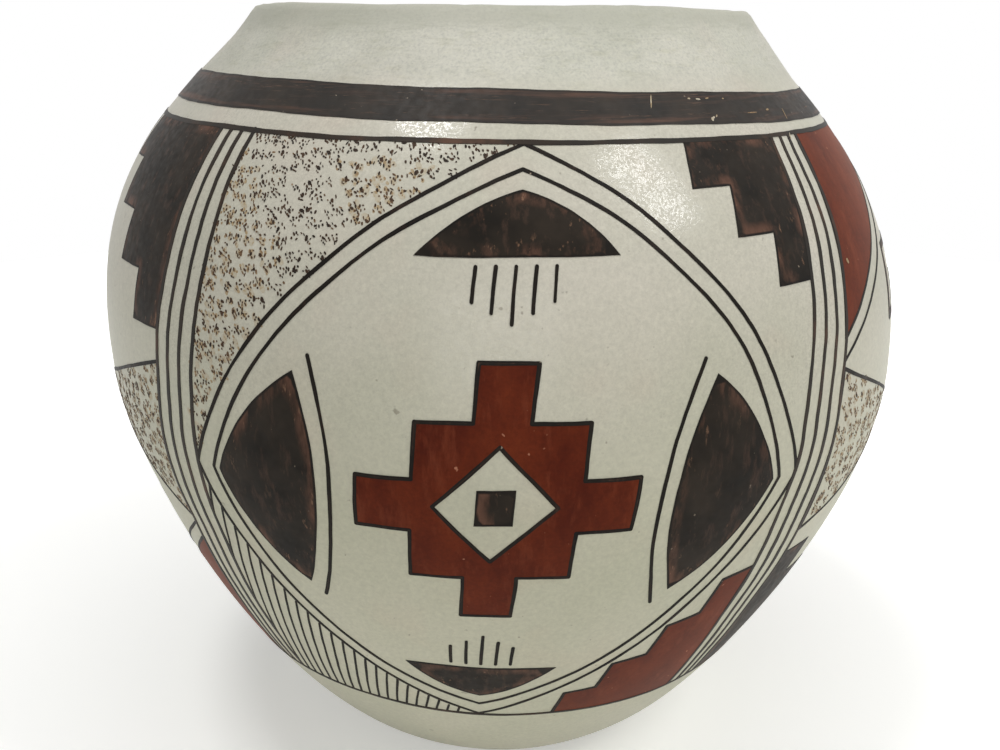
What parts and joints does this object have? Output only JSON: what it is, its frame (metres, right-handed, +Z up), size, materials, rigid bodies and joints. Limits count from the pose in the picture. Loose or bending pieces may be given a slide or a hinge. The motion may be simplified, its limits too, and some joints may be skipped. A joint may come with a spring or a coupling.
{
  "type": "pottery vase",
  "caption": "Wide-bellied coil-built pottery vase with a short leaning neck, open mouth, cream slip and black and red painted panels.",
  "frame": {"origin": "middle of the flat foot, on the surface that the vase stands on", "axes": "+Z up along the vase's own axis; -Y is the side that faces the viewer, with the front painted panel in the middle"},
  "size_m": [0.254, 0.254, 0.2385],
  "materials": {
    "slipped_clay": "stone-burnished cream slip, satin",
    "bare_clay": "scraped unslipped clay, matt",
    "dark_paint": "brown-black mineral paint, matt",
    "red_paint": "brick-red iron paint, matt"
  },
  "bodies": {
    "root": {"base_pat": "bare_clay", "wall_coil_1": "slipped_clay", "wall_coil_2": "slipped_clay", "wall_coil_3": "slipped_clay", "wall_coil_4": "slipped_clay", "wall_coil_5": "slipped_clay", "wall_coil_6": "slipped_clay", "wall_coil_7": "slipped_clay", "rim_coil": "slipped_clay"}
  },
  "joints": []
}
